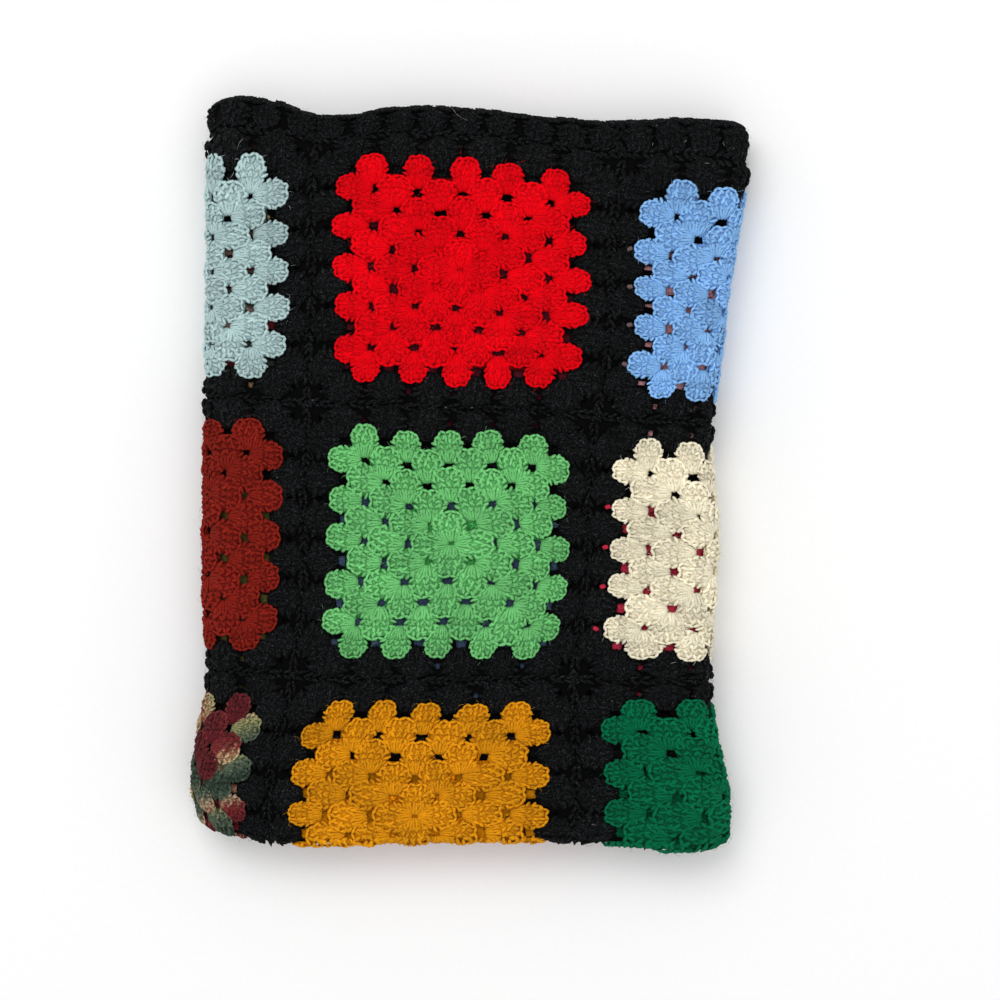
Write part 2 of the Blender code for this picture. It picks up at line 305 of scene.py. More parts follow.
def along_table():
    """The path of the cloth down its length, a row for each change. Columns: v, y, height, offset, turn."""
    shown = (TOP_HEM - NEAR_FOLD) / STRETCH_ALONG
    turn = math.pi * LAYER / 2
    back = (FAR_FOLD - NEAR_FOLD) / SLACK_ALONG
    v = np.cumsum([0, shown, turn, back, turn])
    last = FAR_FOLD - (LENGTH - v[-1]) * SLACK_BOTTOM
    high, low, half = 2 * LAYER, LAYER, LAYER / 2
    return np.array(
        [
            (v[0], TOP_HEM, high, half, 0),
            (v[1], NEAR_FOLD, high, half, 0),
            (v[2], NEAR_FOLD, high, half, math.pi),
            (v[3], FAR_FOLD, low, -half, math.pi),
            (v[4], FAR_FOLD, low, -half, 0),
            (LENGTH, last, low, -half, 0),
        ]
    )


def across_table():
    """The path of the folded strip across the blanket, a row for each change. Columns: u, x, z, turn."""
    side = HALF_WIDTH - OUTER_BEND - THICKNESS / 2
    quarter = math.pi / 2 * OUTER_BEND
    left = BORDER + SHOWN_COLUMN * SQUARE
    steps = [2 * quarter, 2 * side / STRETCH_ACROSS, quarter, STRIP, quarter]
    u = np.cumsum([left - quarter] + steps)
    left_end = -side + u[0] * STRETCH_ACROSS
    right_end = side - (WIDTH - u[5]) * SLACK_FLAP
    return np.array(
        [
            (0, left_end, 2 * STRIP, -math.pi),
            (u[0], -side, 2 * STRIP, -math.pi),
            (u[1], -side, 2 * STRIP, 0),
            (u[2], side, 2 * STRIP, 0),
            (u[3], side, 2 * STRIP, math.pi / 2),
            (u[4], side, STRIP, math.pi / 2),
            (u[5], side, STRIP, math.pi),
            (WIDTH, right_end, STRIP, math.pi),
        ]
    )


ALONG = along_table()
ACROSS = across_table()


def fold(u, v, n):
    """Where a point of the cloth lies once both folds are made."""
    y, height, offset, turn = (np.interp(v, ALONG[:, 0], column) for column in ALONG[:, 1:].T)
    y = y - (offset + n) * np.sin(turn)
    height = height + (offset + n) * np.cos(turn)
    x, z, turn = (np.interp(u, ACROSS[:, 0], column) for column in ACROSS[:, 1:].T)
    return x + height * np.sin(turn), y, z + height * np.cos(turn)


def curve(x, xs, ys):
    """A smooth curve through a table's points."""
    slopes = np.gradient(ys, xs)
    i = np.clip(np.searchsorted(xs, x) - 1, 0, len(xs) - 2)
    span = xs[i + 1] - xs[i]
    f = np.clip((x - xs[i]) / span, 0, 1)
    start = ys[i] * (1 + 2 * f) + slopes[i] * span * f
    end = ys[i + 1] * (3 - 2 * f) + slopes[i + 1] * span * (f - 1)
    return start * (1 - f) ** 2 + end * f**2


def nearness(distance, reach):
    """1 at distance 0, falling smoothly to 0 at the reach."""
    f = np.clip(1 - distance / reach, 0, 1)
    return f * f * (3 - 2 * f)


def settle(x, y, z):
    """Moves the evenly folded packet to the shape in which it lies: wavy ends, soft sides, a low crown."""
    z = z - (LAYER - THICKNESS) / 2
    far = nearness(TOP_HEM - y, END_REACH)
    near = nearness(y - NEAR_FOLD + LAYER, END_REACH)
    into = np.clip((np.maximum(y - TOP_HEM, NEAR_FOLD - LAYER - y) + CORNER) / CORNER, 0, 1)
    rounding = 1 - CORNER / HALF_WIDTH * (1 - np.sqrt(1 - 0.9 * into**2))
    lower = 1 - z / (3 * STRIP)
    left, right = curve(y, SIDES[:, 0], SIDES[:, 1]), curve(y, SIDES[:, 0], SIDES[:, 2])
    middle, half = (left + right) / 2, (right - left) / 2
    inside = 1 - np.abs(np.clip(x / HALF_WIDTH, -1, 1)) ** np.where(x < 0, 4, 2)
    skew = SKEW * inside * nearness(y - NEAR_FOLD, SKEW_FROM - NEAR_FOLD)
    drift = nearness(np.abs(x - DRIFT_AT), DRIFT_REACH) * curve(y, DRIFT[:, 0], DRIFT[:, 1])
    placed = middle + x / HALF_WIDTH * half * rounding - skew + drift
    hem = curve(x, ENDS[:, 0], ENDS[:, 1]) - TOP_HEM
    fold_end = curve(x, ENDS[:, 0], ENDS[:, 2]) - NEAR_FOLD + LAYER
    slope = -SLOPE * x * (1 - far) * (1 - near) * (1 + y / (2 * TOP_HEM))
    top_right = nearness(HALF_WIDTH - x, HALF_WIDTH) * nearness(TOP_HEM - END_REACH / 2 - y, TOP_HEM)
    sag = SAG * top_right * (1 - nearness(TOP_HEM - y, END_REACH / 2))
    top_left = nearness(x + HALF_WIDTH, LEFT_REACH) * nearness(np.abs(y - LEFT_ROW), LEFT_REACH)
    sag = sag + SAG_LEFT * top_left * (1 - far)
    short = UNDER_SHORT * lower * (0.7 + 0.3 * np.sin(40 * x))
    moved = y + far * (hem - short) + near * (fold_end + short) + slope - sag
    crown = (1 - (x / HALF_WIDTH) ** 2) * (1 - (y / TOP_HEM) ** 2)
    ripple = 0.6 * np.sin(21 * x + 9 * y + 1) + 0.4 * np.sin(33 * y - 12 * x)
    ends_low = nearness(TOP_HEM - np.abs(y), 0.03)
    height = z * (1 + CROWN * crown + 0.015 * ripple - 0.08 * ends_low)
    overhang = nearness(x + HALF_WIDTH, HALF_WIDTH + DROOP_FROM)
    droop = DROOP * overhang * (1 - nearness(z, STRIP))
    return placed - MIDDLE[0], moved - MIDDLE[1], height - droop


class Template:
    """A small mesh in (across, outward, height), in metres, with a strand map: metres along and round it.

    Relief is 1 on top of a strand and 0 in the crevices beside it; the material paints shade by it, darkest
    at 0. Shade makes a strand lighter or darker.
    """

    def __init__(self):
        self.points, self.faces, self.map = [], [], []
        self.relief, self.shades, self.count = [], [], 0

    def add_strand(self, path, radius, sides, shade=0.0, flatten=0.85, blunt=0.35):
        """A closed strand, round and tapered to its ends, along a path of three or more points."""
        path = np.asarray(path, float)
        ahead = np.gradient(path, axis=0)
        ahead /= np.linalg.norm(ahead, axis=1)[:, None]
        beside = np.cross(ahead, (0, 0, 1.0))
        beside /= np.maximum(np.linalg.norm(beside, axis=1), 1e-9)[:, None]
        above = np.cross(beside, ahead)
        length = np.concatenate([[0], np.cumsum(np.linalg.norm(np.diff(path, axis=0), axis=1))])
        girth = radius * np.sin(np.pi * length / length[-1]).clip(0, 1) ** blunt
        angle = np.arange(sides) * 2 * np.pi / sides
        rings = path[1:-1, None] + girth[1:-1, None, None] * (
            np.cos(angle)[None, :, None] * beside[1:-1, None]
            + flatten * np.sin(angle)[None, :, None] * above[1:-1, None]
        )
        count = len(path) - 2
        start = RANDOM.uniform(0, 0.5, 2)
        places = start[0] + length
        points = np.concatenate([path[:1], rings.reshape(-1, 3), path[-1:]])
        self.add_tube(points, sides, list(zip(places, places[1:])), start[1], 2 * np.pi * radius / sides)
        # Painted shade by relief: lighter on the strand's top, darker on its underside, and dark at its tips.
        around = np.tile(0.5 + 0.5 * np.sin(angle), count)
        self.relief += [0.2, *around, 0.2]
        self.shades += [shade] * (sides * count + 2)

    def add_tube(self, points, sides, spans, start, step):
        """A closed tube: a tip, rings of points and a tip, with a span of the map from each to the next."""
        first, end = self.count, (len(spans) - 2) * sides
        self.points.append(points)
        self.count += len(points)
        for k in range(sides):
            a, b = first + 1 + k, first + 1 + (k + 1) % sides
            low, high = start + k * step, start + (k + 1) * step
            middle = (low + high) / 2
            before, after = spans[0]
            self.faces.append((first, a, b))
            self.map += [(before, middle), (after, low), (after, high)]
            for ring, (before, after) in enumerate(spans[1:-1]):
                here, there = ring * sides, (ring + 1) * sides
                self.faces.append((a + here, a + there, b + there, b + here))
                self.map += [(before, low), (after, low), (after, high), (before, high)]
            before, after = spans[-1]
            self.faces.append((b + end, a + end, self.count - 1))
            self.map += [(before, high), (before, low), (after, middle)]

    def arrays(self):
        return (
            np.concatenate(self.points),
            np.array([i for face in self.faces for i in face]),
            np.array([len(face) for face in self.faces]),
            np.array(self.map),
            np.array(self.relief),
            np.array(self.shades),
        )


# The shape of a cluster. Columns: rounds outward, half its width in rounds, height of its crest in metres.
OUTLINE = np.array(
    [
        (0.05, 0.20, -0.0006),
        (0.20, 0.38, 0.0004),
        (0.40, 0.54, 0.0012),
        (0.65, 0.67, 0.0018),
        (0.88, 0.75, 0.0022),
        (1.08, 0.77, 0.0024),
        (1.33, 0.69, 0.0024),
        (1.58, 0.56, 0.0021),
        (1.72, 0.45, 0.0017),
        (1.80, 0.20, 0.0011),
    ]
)


def crest(s, t):
    """Height of a cluster's surface at s rounds across and t outward."""
    half = np.interp(t, OUTLINE[:, 0], OUTLINE[:, 1])
    return np.interp(t, OUTLINE[:, 0], OUTLINE[:, 2]) - 0.0016 * np.clip(np.abs(s) / half, 0, 1.2) ** 2.5


def strand_path(points, lift, count, low_ends=0.0):
    """A path on a cluster's surface through points in rounds, sampled closest at its let-down ends."""
    points = np.asarray(points, float)
    f = 0.5 - 0.5 * np.cos(np.linspace(0, np.pi, count))
    knots = np.linspace(0, 1, len(points))
    s, t = curve(f, knots, points[:, 0]), curve(f, knots, points[:, 1])
    down = low_ends * (2 * np.abs(f - 0.5)) ** 2
    return np.stack([s * ROUND, t * ROUND, crest(s, t) + lift - down], axis=1)


def grain_path(middle, angle, length, lift, low_ends, count, bend=0.0):
    """A short path across a cluster: a grain of plied yarn, angle turned to the right of outward."""
    ahead = np.array([math.sin(angle), math.cos(angle)])
    side = np.array([ahead[1], -ahead[0]])
    ends = [np.array(middle) + ahead * length * f + side * bend * (1 - 4 * f * f) for f in (-0.5, 0, 0.5)]
    return strand_path(ends, lift, count, low_ends)


def jitter(scale):
    return RANDOM.normal(0, scale)


def core(template, rings, sides, deep):
    """The closed body of a cluster under its strands."""
    t = np.linspace(OUTLINE[0, 0], OUTLINE[-1, 0] - 0.04, rings + 2)
    half = np.interp(t, OUTLINE[:, 0], OUTLINE[:, 1]) * 0.92
    top = np.interp(t, OUTLINE[:, 0], OUTLINE[:, 2]) - 0.0003
    angle = np.arange(sides) * 2 * np.pi / sides
    points = [(0, t[0] * ROUND, -0.0006)]
    for k in range(1, rings + 1):
        for a in angle:
            lift = math.sin(a)
            height = top[k] * lift if lift > 0 else deep * lift
            points.append((math.cos(a) * half[k] * ROUND, t[k] * ROUND, height))
    points.append((0, t[-1] * ROUND, 0.0003))
    spans = [(0.002 + ring * 0.003, 0.005 + ring * 0.003) for ring in range(rings - 1)]
    spans = [(0, 0.002), *spans, (0.02, 0.022)]
    template.add_tube(np.array(points), sides, spans, 0.0, 2 * math.pi * 0.006 / sides)
    # Relief 0.3 paints the body in shade, close to the painted shade of the crevices.
    template.relief += [0.3] * len(points)
    template.shades += [0.0] * len(points)


def add_fan(template, count, radius, points):
    """The strands that fan out from a cluster's base to its posts."""
    for f in np.linspace(-1, 1, count):
        path = [(0.15 * f, 0.07), (0.40 * f, 0.30), (0.55 * f, 0.58), (0.60 * f, 0.84 - 0.12 * f * f)]
        path = [(s + jitter(0.012), t + jitter(0.02)) for s, t in path]
        template.add_strand(strand_path(path, -0.0003, points), radius, 4, jitter(0.06))


def add_stitches(template, rows, length, radius):
    """The plied strands of a cluster's head, two to each V, in rows."""
    for t, reach, count in rows:
        for f in np.linspace(-1, 1, count):
            lean = 0.40 * f + jitter(0.15)
            tip = np.array((reach * f + jitter(0.03), t - 0.07 * f * f + jitter(0.03)))
            for hand in (-1, 1):
                turn = lean + hand * (math.radians(36) + jitter(0.12))
                ahead = np.array((math.sin(turn), math.cos(turn)))
                middle = tip + 0.45 * length * ahead + (0.02 * hand, 0)
                long, lift = length + jitter(0.02), jitter(0.00015)
                path = grain_path(middle, turn, long, lift, 0.0005, 5, 0.02 * hand)
                template.add_strand(path, radius * (1 + jitter(0.07)), 4, jitter(0.09))


def add_rim(template, radius):
    """The chain round the edge of a cluster's head, a strand to each stretch of the edge. Its strands are
    painted a little lighter, as painted highlight.
    """
    side = OUTLINE[5:-1, :2] * (0.97, 0.88)
    edge = np.concatenate([side * (1, -1), [(1.71, -0.14), (1.71, 0.14)], side[::-1]])
    ahead = np.diff(edge, axis=0)
    for k in range(len(ahead)):
        middle = (edge[k] + edge[k + 1]) / 2
        turn = math.atan2(ahead[k, 1], ahead[k, 0]) + (0.35 if k % 2 else -0.35) + jitter(0.1)
        length = 0.15 + math.hypot(*ahead[k]) * 0.7
        path = grain_path((middle[1], middle[0]), turn, length, 0.0, 0.0004, 5)
        # Shade 0.08: the rim's painted highlight.
        template.add_strand(path, radius * (1 + jitter(0.06)), 4, 0.08 + jitter(0.06))


def cluster(body, fan=None, stitches=None, rim=None):
    """A cluster: its body and, where they are seen, its fan, its head's stitches and its chained rim."""
    made = Template()
    core(made, *body)
    if fan:
        add_fan(made, *fan)
    if stitches:
        add_stitches(made, *stitches)
    if rim:
        add_rim(made, rim)
    return made.arrays()


def turned(away, aside, turn):
    """A path that goes away and aside, turned to the right of outward."""
    cos, sin = math.cos(turn), math.sin(turn)
    return away * sin + aside * cos, away * cos - aside * sin


def tuft(count):
    """Loose fibres that stand off a cluster: thin closed spindles, curved at random."""
    made = Template()
    for _ in range(count):
        s, t = RANDOM.uniform(-0.6, 0.6), RANDOM.uniform(0.1, 1.85)
        turn, length = RANDOM.uniform(0, 2 * math.pi), RANDOM.uniform(0.002, 0.0055)
        rise, bend = RANDOM.uniform(0.0004, 0.0018), RANDOM.normal(0, 0.0008)
        f = np.linspace(0, 1, 4)
        across, outward = turned(length * f, bend * np.sin(np.pi * f), turn)
        height = crest(s, t) + 0.0006 + rise * np.sin(np.pi * f * 0.8)
        path = np.stack([across + s * ROUND, outward + t * ROUND, height], axis=1)
        # Shade 0.1 paints the fibres a little lighter, as painted highlight.
        made.add_strand(path, RANDOM.uniform(4e-5, 7e-5), 3, 0.1)
    return made.arrays()


def smooth(knots, count):
    """A smooth path of this many points through the knots."""
    f, at = np.linspace(0, 1, count), np.linspace(0, 1, len(knots))
    return np.stack([curve(f, at, column) for column in knots.T], axis=1)


def join_stitch(sides, count):
    """One V of the crocheted join, its point at the start. It is drawn along outward."""
    made = Template()
    for hand in (-1, 1):
        knots = np.array([(0.01, -0.08, -0.0006), (0.10, 0.14, 0.0003), (0.24, 0.44, -0.0005)]) * (hand, 1, 1)
        knots += [(jitter(0.03), jitter(0.03), jitter(0.0002)) for _ in knots]
        made.add_strand(smooth(knots, count) * (ROUND, ROUND, 1), 0.0010, sides, jitter(0.08))
    return made.arrays()


def edge_stitch(sides, count):
    """A length of the edge round the border, which leans a little off its line."""
    made = Template()
    knots = [(-0.08, -0.12, -0.0003), (0.08, 0.08, 0.0005), (0.12, 0.26, 0.0005), (-0.06, 0.50, -0.0003)]
    made.add_strand(smooth(np.array(knots) * (ROUND, ROUND, 1), count), 0.0013, sides, jitter(0.06))
    body = np.array([(0, -0.10, -0.0007), (0, 0.05, -0.0007), (0, 0.31, -0.0007), (0, 0.46, -0.0007)])
    made.add_strand(body * (ROUND, ROUND, 1), 0.0011, sides, -0.1)
    return made.arrays()


def rope_grain():
    """A plain short length of the join, for the layers inside."""
    made = Template()
    path = np.array([(0, 0, 0.0006), (0, 0.35, 0.001), (0, 0.75, 0.001), (0, 1.1, 0.0006)])
    made.add_strand(path * (ROUND, ROUND, 1), 0.002, 4)
    return made.arrays()


NUMBERS = ("u", "v", "du", "dv", "wide", "long", "high", "lift", "turn", "shade", "dye", "face")
SPOT = np.dtype([(name, float) for name in NUMBERS] + [("colour", "U12"), ("kind", "U8")])
# The way outward across the cloth and down it on each side of a square
SIDE_WAYS = {"far": (0, -1), "right": (1, 0), "near": (0, 1), "left": (-1, 0)}


def square_spots(row, column):
    """The clusters of one square, round by round. Each side of a round has as many clusters as its number."""
    centre = BORDER + (column + 0.5) * SQUARE, BORDER + (row + 0.5) * SQUARE
    for number in range(1, ROUNDS + 2):
        black = number > ROUNDS
        run = 0
        for side, (du, dv) in SIDE_WAYS.items():
            for i in range(1 - number, number, 2):
                u = centre[0] + (-i * dv + (number - 1) * du) * ROUND
                v = centre[1] + (i * du + (number - 1) * dv) * ROUND
                colour = "black" if black else PATCHES[row][column]
                wide, long, lift = SIZES[np.sign(number - ROUNDS)]
                wide *= PLUMP.get(colour, 1.0)
                placed = number * (number - 1) * 2 + run
                dye = DYED.get((number, side), {}).get(i, 0.6 * placed + 2.8)
                yield u, v, du, dv, wide, long, lift, colour, dye
                run += 1


def border_spots():
    """The clusters of the border, which start from the seam round all the squares."""
    count, start = 9, BORDER - 0.0002
    look = (0.95, 0.66, 0.0, "black", 0)
    for k in range(ROWS * count):
        v = BORDER + (k + 0.5) * SQUARE / count
        yield start, v, -1, 0, *look
        yield WIDTH - start, v, 1, 0, *look
    for k in range(COLUMNS * count):
        u = BORDER + (k + 0.5) * SQUARE / count
        yield u, start, 0, -1, *look
        yield u, LENGTH - start, 0, 1, *look


def line_spots(across, along, pitch):
    """The stitches of a set of lines down the cloth and of a set across it."""
    look = (1.0, 1.0, 0.0, "black", 0)
    for u in across:
        for v in np.arange(0.002, LENGTH - 0.002, pitch):
            yield u, v, 0, 1, *look
    for v in along:
        for u in np.arange(0.002, WIDTH - 0.002, pitch):
            yield u, v, 1, 0, *look


def where_seen(u, v):
    """How closely a place on the cloth is seen: top, end, under, beneath or hidden."""
    rows, ends = ACROSS[:, 0], ALONG[:, 0]
    shown = (u > rows[1] - SEEN_SIDE) & (u < rows[5] + SEEN_SIDE)
    top = shown & (v < ends[2] + SEEN_PAST)
    near = (v > ends[1] - SEEN_NEAR) & (v < ends[2] + SEEN_NEAR)
    far = ((v > ends[3] - SEEN_FAR) & (v < ends[4] + SEEN_FAR)) | (v < SEEN_HEM)
    under = (v < ends[2]) & (u > rows[5])
    beneath = (v >= ends[2]) & (v < ends[3]) & (u > rows[1]) & (u < rows[4])
    return np.select([top, near | far, under, beneath], ["top", "end", "under", "beneath"], "hidden")


def spots():
    """Every cluster and stitch of the cloth as one table."""
    rows = []
    seams = [[BORDER + k * SQUARE for k in range(count + 1)] for count in (COLUMNS, ROWS)]
    edges = [[EDGE_LINE, size - EDGE_LINE] for size in (WIDTH, LENGTH)]
    for kind, made in (
        ("cluster", (spot for r in range(ROWS) for c in range(COLUMNS) for spot in square_spots(r, c))),
        ("cluster", border_spots()),
        ("join", line_spots(*seams, STITCH_PITCH)),
        ("edge", line_spots(*edges, STITCH_PITCH)),
        ("rope", line_spots(*seams, ROUND)),
        ("rope", line_spots(*edges, ROUND)),
    ):
        for u, v, du, dv, wide, long, lift, colour, dye in made:
            rows.append((u, v, du, dv, wide, long, 1.0, lift, 0.0, 0.0, dye, 1.0, colour, kind))
    table = np.array(rows, dtype=SPOT)
    count = len(table)
    cluster = table["kind"] == "cluster"
    for name in ("wide", "long"):
        table[name] *= 1 + RANDOM.normal(0, SPREAD[name], count) * cluster
    table["turn"] = RANDOM.normal(0, SPREAD["turn"], count) * np.where(cluster, 1, 0.6)
    for name in ("u", "v"):
        table[name] += RANDOM.normal(0, SPREAD["place"], count)
    table["high"] = RANDOM.uniform(0.92, 1.10, count)
    table["shade"] = RANDOM.normal(0, SPREAD["shade"], count)
    return table


def drawn(u, v):
    """The cloth is a little uneven: its rows wander, and it is drawn out in places."""
    for at_u, at_v, far in PULLS:
        v = v + far * nearness(np.abs(u - at_u), PULL_REACH[0]) * nearness(np.abs(v - at_v), PULL_REACH[1])
    u_moved = u + 0.0008 * np.sin(31 * v + 9 * u + 0.6) + 0.0005 * np.sin(74 * v - 40 * u)
    v_moved = v + 0.0009 * np.sin(27 * u - 12 * v + 2.0) + 0.0005 * np.sin(83 * u + 35 * v)
    return u_moved, v_moved


def on_packet(u, v, n):
    """Where a point of the cloth lies in the packet. Past the cloth's edges it runs straight on."""
    u, v = drawn(u, v)
    past_u, past_v = u - np.clip(u, 0, WIDTH), v - np.clip(v, 0, LENGTH)
    x, y, z = fold(u - past_u, v - past_v, n)
    x, y, z = settle(x - past_u, y - past_v, z)
    return np.stack([x, y, np.maximum(z, 0.0002)], axis=-1)


def laid(template, at):
    """The template's mesh laid at each spot, as one set of arrays."""
    points, corners, sizes, strand_map, relief, shades = template
    count = len(at)
    column = {name: at[name][:, None] for name in NUMBERS}
    cos, sin = np.cos(column["turn"]), np.sin(column["turn"])
    s = points[None, :, 0] * column["wide"] * column["face"]
    t = points[None, :, 1] * column["long"]
    s, t = s * cos - t * sin, s * sin + t * cos
    u = column["u"] - column["dv"] * s + column["du"] * t
    v = column["v"] + column["du"] * s + column["dv"] * t
    near_base = nearness(points[None, :, 1] / ROUND - 0.6, 0.6)
    n = (points[None, :, 2] * column["high"] + column["lift"] * near_base) * column["face"]
    shift = np.arange(count)[:, None] * len(points)
    slide = RANDOM.uniform(0, 0.3, (count, 1, 2))
    return {
        "points": on_packet(u, v, n).reshape(-1, 3),
        "corners": (corners[None] + shift).ravel(),
        "sizes": np.tile(sizes, count),
        "map": (strand_map[None] + slide).reshape(-1, 2),
        "relief": np.tile(relief, count),
        "shade": (shades[None] + column["shade"]).ravel(),
        "dye": np.repeat(at["dye"], len(points)),
        "across": np.tile(points[:, 0] / ROUND, count),
        "outward": np.tile(points[:, 1] / ROUND, count),
    }


def joined(parts):
    """Several sets of mesh arrays as one."""
    start, made = 0, {name: [] for name in parts[0]}
    for part in parts:
        for name, values in part.items():
            made[name].append(values + start if name == "corners" else values)
        start += len(part["points"])
    return {name: np.concatenate(values) for name, values in made.items()}


def as_floats(array):
    """An array's numbers as Blender takes them."""
    return np.asarray(array, np.float32).ravel()


def in_scene(name, data):
    """A new object in the scene, with this mesh, light or camera."""
    made = bpy.data.objects.new(name, data)
    bpy.context.scene.collection.objects.link(made)
    return made


def mesh_piece(name, arrays, material):
    """An object with this mesh, its strand map and its relief and shade, which rides on the packet."""
    mesh = bpy.data.meshes.new(name)
    mesh.vertices.add(len(arrays["points"]))
    mesh.vertices.foreach_set("co", as_floats(arrays["points"]))
    mesh.loops.add(len(arrays["corners"]))
    mesh.loops.foreach_set("vertex_index", arrays["corners"].astype(np.int32))
    starts = np.concatenate([[0], np.cumsum(arrays["sizes"])[:-1]])
    mesh.polygons.add(len(starts))
    mesh.polygons.foreach_set("loop_start", starts.astype(np.int32))
    mesh.update(calc_edges=True)
    mesh.validate()
    mesh.shade_smooth()
    mesh.uv_layers.new(name="strand").uv.foreach_set("vector", as_floats(arrays["map"]))
    for kind in ("relief", "shade"):
        mesh.attributes.new(kind, "FLOAT", "POINT").data.foreach_set("value", as_floats(arrays[kind]))
    if "tint" in arrays:
        tint = np.concatenate([arrays["tint"], np.ones((len(arrays["tint"]), 1))], axis=1)
        colours = mesh.attributes.new("tint", "FLOAT_COLOR", "POINT").data
        colours.foreach_set("color", as_floats(tint))
    mesh.materials.append(material)
    piece = in_scene(name, mesh)
    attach(piece, "root")
    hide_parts("blanket")
    return piece


def linear(colour):
    """A colour given from 0 to 255, as it looks, in the renderer's linear numbers."""
    c = np.asarray(colour, float) / 255
    return np.where(c <= 0.04045, c / 12.92, ((c + 0.055) / 1.055) ** 2.4)


class Nodes:
    """A material and a short way to add and join its nodes."""

    def __init__(self, name):
        self.material = bpy.data.materials.new(name)
        self.material.use_nodes = True
        self.tree = self.material.node_tree
        self.shader = self.tree.nodes["Principled BSDF"]

    def feed(self, node, inputs):
        for name, value in inputs.items():
            if isinstance(value, bpy.types.NodeSocket):
                self.tree.links.new(value, node.inputs[name])
            else:
                node.inputs[name].default_value = value

    def add(self, kind, inputs=None, **settings):
        node = self.tree.nodes.new(kind)
        for name, value in settings.items():
            setattr(node, name, value)
        self.feed(node, inputs or {})
        return node

    def math(self, operation, a, b=0.0, clamp=False):
        node = self.add("ShaderNodeMath", {0: a, 1: b}, operation=operation, use_clamp=clamp)
        return node.outputs[0]

    def mix(self, factor, a, b, blend="MIX"):
        settings = {"data_type": "RGBA", "blend_type": blend, "clamp_result": False}
        return self.add("ShaderNodeMix", {0: factor, 6: a, 7: b}, **settings).outputs[2]

    def noise(self, place, scale, detail, roughness=0.5):
        inputs = {"Vector": place, "Scale": scale, "Detail": detail, "Roughness": roughness}
        return self.add("ShaderNodeTexNoise", inputs).outputs[0]

    def swing(self, value, scale):
        """How far a noise swings about its middle, to this scale."""
        return self.math("MULTIPLY", self.math("SUBTRACT", value, 0.5), scale)


def yarn_material(name, colour, painted_crevice_shade, tinted=False, mottle=PLAIN_MOTTLE):
    """Acrylic yarn: streaked along its strands, mottled by fuzz, painted with shade in its crevices, softly
    sheened.
    """
    nodes = Nodes("yarn_" + name)
    strand = nodes.add("ShaderNodeUVMap", uv_map="strand").outputs[0]
    along = nodes.add("ShaderNodeMapping", {0: strand, 2: (0, 0, TWIST), 3: STRAND_SCALE}).outputs[0]
    fibres = nodes.noise(along, 1.0, 3.0, 0.65)
    place = nodes.add("ShaderNodeTexCoord").outputs["Object"]
    patches = nodes.noise(place, PATCH_SCALE, 2.0)
    fuzz = nodes.noise(place, FUZZ_SCALE, 3.0, 0.75)
    relief = nodes.add("ShaderNodeAttribute", attribute_name="relief").outputs["Fac"]
    shade = nodes.add("ShaderNodeAttribute", attribute_name="shade").outputs["Fac"]
    if tinted:
        tint = nodes.add("ShaderNodeAttribute", attribute_name="tint").outputs["Color"]
        # For tinted yarn, deep is the painted shade of the crevices: the tint darkened.
        light, deep = tint, nodes.mix(1.0, tint, (0.42, 0.40, 0.40, 1), "MULTIPLY")
    else:
        light, deep = (*linear(colour), 1), (*linear(painted_crevice_shade), 1)
    # Painted shade: the colour runs from deep, the painted shade of low relief, to light on the strands'
    # tops.
    lifted = nodes.math("ADD", relief, nodes.swing(fibres, 1.2))
    lifted = nodes.math("ADD", lifted, nodes.swing(fuzz, 0.9))
    lifted = nodes.math("MULTIPLY", lifted, 1.3, clamp=True)
    body = nodes.mix(lifted, deep, light)
    varied = nodes.math("ADD", nodes.swing(patches, 0.25), shade)
    speckled = nodes.math("POWER", 2.0, nodes.swing(fuzz, mottle))
    varied = nodes.math("MULTIPLY", nodes.math("ADD", varied, 1.0), speckled)
    value = nodes.add("ShaderNodeHueSaturation", {"Value": varied, "Color": body}).outputs[0]
    height = nodes.math("ADD", fibres, nodes.math("MULTIPLY", fuzz, 0.8))
    bump = nodes.add("ShaderNodeBump", {"Strength": 0.7, "Distance": BUMP, "Height": height}).outputs[0]
    look = {
        "Base Color": value,
        "Normal": bump,
        "Roughness": nodes.math("ADD", nodes.math("MULTIPLY", fibres, 0.2), 0.78),
        "Specular IOR Level": SPECULAR,
        "Sheen Weight": BLACK_SHEEN if name == "black" else SHEEN,
        "Sheen Roughness": 0.5,
        "Sheen Tint": (*(0.08 + 0.92 * linear(colour)), 1),
    }
    nodes.feed(nodes.shader, look)
    return nodes.material


def web_lines(count):
    """The web's mesh lines over a number of squares, half a round apart in each."""
    inside = np.arange(-6.25, 6.5, 0.5) * ROUND
    lines = [np.array([WEB_EDGE, 0.5 * BORDER])]
    for k in range(count):
        centre = BORDER + (k + 0.5) * SQUARE
        lines.append(np.concatenate([[BORDER + k * SQUARE], centre + inside]))
    end = count * SQUARE + BORDER
    return np.concatenate([*lines, [end, end + 0.5 * BORDER, end + BORDER - WEB_EDGE]])


def lattice(p, count):
    """The square that a place lies in, and how many rounds from its centre it is."""
    square = np.clip(np.floor((p - BORDER) / SQUARE), 0, count - 1)
    return square.astype(int), (p - BORDER - (square + 0.5) * SQUARE) / ROUND


def at_gap(p, q):
    """Whether the round and place nearest to a point, in rounds from a square's centre, have a gap."""
    p, q = np.round(p), np.round(q)
    number = np.maximum(np.abs(p), np.abs(q))
    return ((p + q) % 2 == 0) & (number >= GAP_ROUNDS[0]) & (number <= GAP_ROUNDS[1])


